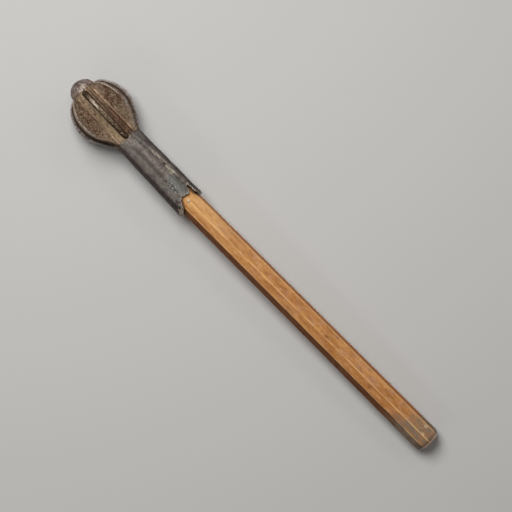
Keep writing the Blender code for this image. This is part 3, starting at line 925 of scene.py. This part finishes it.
def plate_finish():
    iron = Finish("flange_iron", head_space, ior=1.3)
    cloud = iron.grain(13 * MM, 4, 0.6, 1.4)
    fine = iron.grain(5.0 * MM, 5, 0.75)
    specks = iron.grain(2.6 * MM, 3, 0.6)
    below = iron.mark("below_crest")
    iron.colour = iron.blend(cloud.ramp(0.38, 0.60), PLATE_BROWN, PLATE_OLIVE)
    iron.coat(iron.grain(11 * MM, 3, 0.5, 1.5).ramp(0.52, 0.62) * 0.75, PLATE_RED)
    tail_end = iron.along.ramp(0.118, 0.100)
    upper = iron.side.ramp(-0.006, -0.010)
    iron.coat(tail_end * cloud.ramp(0.34, 0.54) * (0.50 + 0.50 * upper), PLATE_TAN)
    iron.coat(fine.ramp(0.49, 0.59) * 0.8, PLATE_TAN)
    iron.coat(fine.ramp(0.44, 0.36) * 0.6, PLATE_BROWN)
    iron.coat(below.ramp(9.0, 2.5) * fine.ramp(0.40, 0.58) * 0.6, PLATE_GREY)
    iron.coat(iron.patch(*RUDDY_MARK) * fine.ramp(0.60, 0.42) * 0.75, PLATE_RED)
    iron.coat(iron.patch(*ROSY_MARK) * 0.5, PLATE_ROSY)
    iron.coat(iron.patch(*BROWNED_MARK) * 0.55, PLATE_BROWN)
    shadowed = iron.side.ramp(0.007, 0.010) * iron.along.ramp(0.108, 0.120)
    iron.coat(shadowed * (0.15 + 0.5 * fine), PLATE_BROWN)
    grit = iron.grain(1.9 * MM, 4, 0.75)
    iron.coat(grit.ramp(0.52, 0.60) * 0.70, PLATE_TAN)
    iron.coat(grit.ramp(0.48, 0.40) * 0.75, PLATE_DUN)
    iron.coat(upper * tail_end * 0.20, PLATE_TAN)
    iron.coat(specks.ramp(0.48, 0.38) * 0.5, PLATE_DUN)
    spoke = (iron.side * iron.side + iron.up * iron.up) ** 0.5
    share = below * MM / (spoke + below * MM)
    outer = iron.up.ramp(0.004, -0.002)
    iron.coat(outer * (0.45 + 0.5 * fine), PLATE_GREY)
    iron.coat(outer * below.ramp(0.8, 2.4) * grit.ramp(0.54, 0.44) * 0.8, PLATE_DUN)
    flank = outer * below.ramp(3.4, 1.2) * grit.ramp(0.45, 0.55)
    iron.coat(flank * 0.85, PLATE_LILAC)
    lower = iron.side.ramp(0.006, 0.010)
    ends = (upper * iron.along.ramp(0.120, 0.128)).peak(lower * iron.along.ramp(0.102, 0.094))
    frosted = outer * ends.peak(lower * iron.along.ramp(0.136, 0.142)) * below.ramp(3.2, 1.6)
    iron.coat(frosted * (0.22 + 0.70 * fine.ramp(0.42, 0.56)), PLATE_LILAC)
    # Painted shadow: the outer plates are painted black deep in the valleys between plates, less so on the
    # upper side towards the tail.
    valley_shadow = (share + 0.055 * upper * iron.along.ramp(0.108, 0.098)).ramp(0.095, 0.135) * outer
    valley_shadow = valley_shadow * (1 - 0.7 * upper * iron.along.ramp(0.110, 0.100))
    iron.coat(valley_shadow * 0.95, PLATE_BLACK)
    rim = below.ramp(1.5, 0.5)
    rubbed = rim * iron.grain(7 * MM, 3, 0.6, 1.6).ramp(0.40, 0.56)
    sway = iron.side + (iron.grain(5 * MM, 3, 0.6) - 0.5) * 0.0030
    top = sway.ramp(-0.0040, -0.0031) * sway.ramp(0.0040, 0.0031) * iron.up.ramp(0.012, 0.016)
    iron.coat(rubbed * (1 - 0.7 * top) * 0.42, PLATE_BRIGHT)
    # Painted highlight: a bright stretch of the top plate's crest, where it rises towards the finial.
    top_crest_highlight = iron.along.ramp(0.1220, 0.1250) * iron.along.ramp(0.1375, 0.1335) * top * rim
    top_crest_highlight = top_crest_highlight * iron.grain(2.6 * MM, 4, 0.7, 3).ramp(0.36, 0.56)
    across = iron.mark("across")
    shoulder = across * (iron.side.ramp(-0.002, 0.002) * 2 - 1)
    raised = iron.up.ramp(0.006, 0.012) * (1 - top)
    # Painted shade: one shoulder of each side plate's crest is darkened.
    iron.coat(rim * raised * shoulder.ramp(0.2, 1.2) * 0.7, PLATE_DUN)
    # Painted highlight: a bright line along the other shoulder of the side plates' crests, mostly towards
    # the front.
    kept = iron.along.ramp(0.116, 0.128).peak(iron.side.ramp(-0.001, 0.001) * iron.along.ramp(0.090, 0.112))
    side_crest_highlight = below.ramp(1.0, 0.3) * raised * shoulder.ramp(-0.9, -1.7) * kept * grit.ramp(0.40, 0.50)
    iron.coat(side_crest_highlight * 0.80, PLATE_BRIGHT)
    # Painted shadow: the crest of the lower side plate is painted black towards the tail.
    crest_gap_shadow = below.ramp(1.8, 0.9) * raised * lower * iron.along.ramp(0.104, 0.094)
    iron.coat(crest_gap_shadow * 0.9, PLATE_BLACK)
    iron.coat(iron.patch(*FRETTED_MARK) * grit.ramp(0.44, 0.56) * 0.7, PLATE_LILAC)
    iron.coat(top * rim * 0.55, PLATE_OLIVE)
    iron.coat(top * rim * grit.ramp(0.52, 0.42) * 0.8, PLATE_DUN)
    iron.coat(top_crest_highlight * 0.62, PLATE_BRIGHT)
    # Partly rust, partly painted shade: the edges of the top plate's crest are blackened, narrowing its
    # pale middle towards the finial.
    narrow = across * across * (1 + 2.5 * iron.along.ramp(0.130, 0.140))
    crest_edges_rust_and_shade = top * rim * narrow.ramp(0.7, 3.2) * grit.ramp(0.60, 0.46)
    iron.coat(crest_edges_rust_and_shade * 0.8, PLATE_BLACK)
    eaten = top * iron.along.ramp(0.1080, 0.1000) * below.ramp(5.0, 3.0)
    iron.coat(eaten * grit.ramp(0.53, 0.42) * 0.80, PLATE_BLACK)
    iron.coat(eaten * grit.ramp(0.54, 0.66) * 0.45, PLATE_BRIGHT)
    # Painted shade: the top plate's crest is painted black at its front end, where it rises steeply from
    # the finial.
    top_tip_shade = top * iron.along.ramp(0.1395, 0.1415)
    iron.coat(top_tip_shade * 0.85, PLATE_BLACK)
    # Painted shade: the top plate's sides are painted black at the foot and in a band under the spread
    # crest.
    top_plate_shade = top * (below.ramp(1.5, 2.6) * below.ramp(8.0, 3.0)).peak(iron.up.ramp(0.0200, 0.0160))
    iron.coat(top_plate_shade * 0.95, PLATE_BLACK)
    sheen = (rubbed * 0.5).peak(top_crest_highlight)
    height = cloud * 0.5 + fine + specks * 0.6
    iron.wear(
        base_color=iron.colour,
        metallic=0.25 * (1 - top_plate_shade) + 0.3 * sheen,
        roughness=0.56 - 0.16 * sheen + 0.16 * fine + 0.3 * top_plate_shade,
        normal=iron.bump(height, 0.40 * MM),
    )
    return iron.material


def below_crest(spot):
    return max(0, crest_height(spot.x) - spot.z) / MM


plates = skin("flange_plates", PLATE_ROWS, PLATE_COLUMNS, plate_point)
mark_points(plates, "below_crest", below_crest, Matrix.Identity(4))
mark_points(plates, "across", lambda spot: spot.y / MM, Matrix.Identity(4))
worked_by(plates, plate_ring_tree(), Finish=plate_finish())
plates.data.transform(head_space)
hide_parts(*[f"flange_{number + 1}" for number in range(FLANGE_COUNT)])
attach(plates, "root")


# Braze holds the flanges too, in a fillet along both sides of every foot. It has weathered to the
# tan of the plates.

FOOT_BEAD_RADIUS = 1.15 * MM
FOOT_BEAD_LUMPS = 0.5
FOOT_BEAD_ASIDE = PLATE_FOOT / 2 + 0.15 * MM
FOOT_BEAD_STEPS = 30
FOOT_BEAD_MARGIN = 1 * MM
FOOT_BEAD_SINK = 0.15 * MM

foot_runs = []
for side in (-FOOT_BEAD_ASIDE, FOOT_BEAD_ASIDE):
    run = []
    for step in range(FOOT_BEAD_STEPS + 1):
        covered = (plate_tip - plate_tail - 2 * FOOT_BEAD_MARGIN) * step / FOOT_BEAD_STEPS
        depth = plate_tail + FOOT_BEAD_MARGIN + covered
        run.append((depth, side, socket_radius(depth) - FOOT_BEAD_SINK))
    foot_runs.append(run)
fillets = path_object("flange_fillets", foot_runs)


def fillet_bright(braze):
    return braze.grain(9 * MM, 2, 0.5).ramp(0.62, 0.72) * 0.2


def fillet_shade(braze):
    # Painted shade: the fillets beside the top flange are darkened, and all of them a little towards the
    # tail.
    beside_top = braze.side.ramp(-0.0048, -0.0040) * braze.side.ramp(0.0048, 0.0040)
    return (beside_top * braze.up.ramp(0, 0.004)).peak(braze.along.ramp(0.118, 0.098) * 0.10)


fillet_finish = braze_finish("fillet_metal", BRAZE_BROWN, BRAZE_TAN, fillet_bright, fillet_shade)
worked_by(
    fillets, braze_run_tree(),
    Copies=FLANGE_COUNT, Radius=FOOT_BEAD_RADIUS, Lumps=FOOT_BEAD_LUMPS, Finish=fillet_finish,
)
fillets.data.transform(head_space)
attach(fillets, "root")


# The finial is a blunt iron dome set over the socket's open end. Hammering left it slightly
# faceted, and it is a pinkish grey. Its crown is a little smoother and carries a painted highlight.

FINIAL_HEIGHT = 12 * MM
FINIAL_RADIUS = 13.7 * MM
FINIAL_FULLNESS = 1.9
FINIAL_SEAT = SOCKET_LENGTH + 0.3 * MM
FINIAL_ROWS = 100
FINIAL_COLUMNS = 140
FINIAL_BASE_SHARE = 0.1
FINIAL_HAMMER = 0.45 * MM
FINIAL_HAMMER_SIZE = 7 * MM
FINIAL_PITS = 0.3 * MM
FINIAL_PIT_SIZE = 2.4 * MM
FINIAL_WEAR = 0.15 * MM


def finial_point(round_share, along_share):
    angle = 2 * math.pi * round_share
    if along_share < FINIAL_BASE_SHARE:
        out, up = along_share / FINIAL_BASE_SHARE, 0
    else:
        turn = math.pi / 2 * (1 - along_share) / (1 - FINIAL_BASE_SHARE)
        out = max(0, math.sin(turn)) ** (2 / FINIAL_FULLNESS)
        up = max(0, math.cos(turn)) ** (2 / FINIAL_FULLNESS)
    point = polar(FINIAL_HEIGHT * up, FINIAL_RADIUS * out, angle)
    worn = FINIAL_HAMMER * ripple(point, FINIAL_HAMMER_SIZE, 2.2)
    worn -= FINIAL_PITS * max(0, ripple(point, FINIAL_PIT_SIZE, 6.6) - 0.1)
    point *= 1 + (worn - FINIAL_WEAR) / FINIAL_RADIUS
    return head_space @ (point + Vector((FINIAL_SEAT, 0, 0)))


CROWN_PINK = (0.240, 0.180, 0.165, 1)
CROWN_BROWN = (0.125, 0.082, 0.065, 1)
CROWN_HIGHLIGHT_MARK = (0.1500, -0.0015, 0.0045, 0.0045, 1.2)


def finial_finish():
    iron = Finish("finial_iron", head_space)
    cloud = iron.grain(9 * MM, 4, 0.6)
    fine = iron.grain(3.4 * MM, 4, 0.7)
    specks = iron.grain(2.0 * MM, 3, 0.6)
    iron.colour = iron.blend(cloud.ramp(0.38, 0.60), CROWN_BROWN, CROWN_PINK)
    iron.coat(fine.ramp(0.50, 0.60) * 0.5, PLATE_LILAC)
    iron.coat(specks.ramp(0.48, 0.39) * 0.8, PLATE_DUN)
    seat = iron.along.ramp(0.1530, 0.1490) * fine.ramp(0.42, 0.56)
    iron.coat(seat * 0.5, PLATE_TAN)
    # Painted highlight: a pale ragged spot on the crown.
    crown = iron.patch(*CROWN_HIGHLIGHT_MARK)
    iron.coat(crown * fine.ramp(0.42, 0.56) * 0.8, PLATE_BRIGHT)
    iron.wear(
        base_color=iron.colour,
        metallic=0.40,
        roughness=0.60 - 0.10 * crown * specks.ramp(0.44, 0.56) + 0.14 * fine,
        normal=iron.bump(cloud * 0.6 + fine + specks * 0.7, 0.45 * MM),
    )
    return iron.material


finial = skin("finial_dome", FINIAL_ROWS, FINIAL_COLUMNS, finial_point)
finial.data.materials.append(finial_finish())
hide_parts("finial")
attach(finial, "root")


# Two nails pin the socket to the wood. One holds the lower tongue and has gone dark. The other
# stands in bare wood now, where the torn sheet used to reach, and its head is worn bright, with a painted
# glint on it.

NAIL_SHANK_RADIUS = 0.9 * MM
NAIL_ROWS = 48
NAIL_COLUMNS = 40
TEAL_DARK = (0.045, 0.070, 0.072, 1)
NAIL_BRIGHT = (0.94, 0.81, 0.60, 1)


def nail_piece(name, node, space, angle, seat, head_radius, head_height, length, tone):
    """A nail driven in towards the axis: dished underside, hammered crown, tapering shank."""
    depth, radius = seat
    out = Vector((0, math.sin(angle), math.cos(angle)))
    sideways = Vector((0, math.cos(angle), -math.sin(angle)))
    profile = [
        (0, head_height), (0.45, 0.95 * head_height), (0.8, 0.7 * head_height), (1, 0.3 * head_height),
        (0.98, 0.05 * head_height), (0.9, 0), (NAIL_SHANK_RADIUS / head_radius, 0),
        (0.9 * NAIL_SHANK_RADIUS / head_radius, -0.7 * length), (0, -length),
    ]

    def nail_point(round_share, along_share):
        turn = 2 * math.pi * round_share
        step = along_share * (len(profile) - 1)
        first = min(int(step), len(profile) - 2)
        (wide0, high0), (wide1, high1) = profile[first], profile[first + 1]
        wide = head_radius * (wide0 + (wide1 - wide0) * (step - first))
        high = high0 + (high1 - high0) * (step - first)
        wide *= 1 + 0.05 * ripple((math.cos(turn), math.sin(turn), 0), 0.9, depth * 1000)
        across = Vector((wide * math.cos(turn), 0, 0)) + sideways * (wide * math.sin(turn))
        return space @ (Vector((depth, 0, 0)) + out * (radius + high) + across)

    nail = skin(name, NAIL_ROWS, NAIL_COLUMNS, nail_point)
    iron = Finish(name + "_iron", space)
    fine = iron.grain(0.9 * MM, 3, 0.6)
    dull = tuple(0.45 * channel for channel in tone[:3]) + (1,)
    iron.wear(
        base_color=iron.blend(fine.ramp(0.4, 0.65), dull, tone),
        metallic=0.4,
        roughness=0.36 + 0.2 * fine,
        normal=iron.bump(fine, 0.08 * MM),
    )
    nail.data.materials.append(iron.material)
    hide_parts(node)
    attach(nail, "root")


nail_piece(
    "tongue_nail_head", "tongue_nail", head_space, math.radians(39.5),
    seat=(-2.3 * MM, socket_radius(-2.3 * MM) + 0.3 * MM),
    head_radius=1.9 * MM, head_height=0.9 * MM, length=9 * MM, tone=TEAL_DARK,
)
# The bare nail's head is worn metal coloured nearly white as a painted glint.
nail_piece(
    "bare_nail_head", "bare_nail", stick_space, math.radians(-2.5),
    seat=(STICK_SHOWN - 4 * MM, STICK_NECK_RADIUS + 0.3 * MM),
    head_radius=1.3 * MM, head_height=0.8 * MM, length=6 * MM, tone=NAIL_BRIGHT,
)


# The studio: a pale floor under the lying mace, one broad soft light beyond the finial, and two
# slim ones that draw the sheen along the socket. The camera looks straight down.

PHOTO_WIDTH = 0.5107
CAMERA_LENS = 200.0
CAMERA_SENSOR = 36.0
CAMERA_TURN = math.radians(225.07)
CAMERA_AIM = (3.2 * MM, -6.7 * MM, 26 * MM)
FLOOR_SIDE = 8.0
FLOOR_TONE = (0.50, 0.49, 0.475, 1)
ROOM_TONE = (1.0, 0.98, 0.95, 1)
ROOM_STRENGTH = 0.12

bpy.ops.mesh.primitive_plane_add(size=FLOOR_SIDE, location=(0, 0, 0))
floor = bpy.context.object
floor.name = "studio_floor"
floor_paint = Finish("floor_paint", Matrix.Identity(4))
floor_paint.wear(base_color=FLOOR_TONE, roughness=0.85)
floor.data.materials.append(floor_paint.material)


def soft_light(name, place, size, power):
    lamp = bpy.data.lights.new(name, "AREA")
    lamp.shape = "RECTANGLE"
    lamp.size, lamp.size_y = size
    lamp.energy = power
    holder = new_object(name, lamp)
    holder.location = place
    holder.rotation_euler = (-Vector(place)).to_track_quat("-Z", "Y").to_euler()


soft_light("beyond_finial", (0.72, -0.20, 1.50), (0.8, 0.9), 27)
soft_light("upper_side", (0.0, -1.25, 1.20), (1.4, 0.35), 2)
soft_light("lower_side", (0.0, 1.30, 1.15), (1.4, 0.25), 2)

room = bpy.data.worlds.new("room")
room.use_nodes = True
room_light = room.node_tree.nodes["Background"].inputs
room_light["Color"].default_value = ROOM_TONE
room_light["Strength"].default_value = ROOM_STRENGTH
bpy.context.scene.world = room
bpy.context.scene.view_settings.view_transform = "Standard"

camera = new_object("camera", bpy.data.cameras.new("camera"))
camera.data.lens = CAMERA_LENS
camera.data.sensor_width = CAMERA_SENSOR
camera_distance = PHOTO_WIDTH * CAMERA_LENS / CAMERA_SENSOR
camera.location = Vector(CAMERA_AIM) + Vector((0, 0, camera_distance))
camera.rotation_euler = (0, 0, CAMERA_TURN)
bpy.context.scene.camera = camera
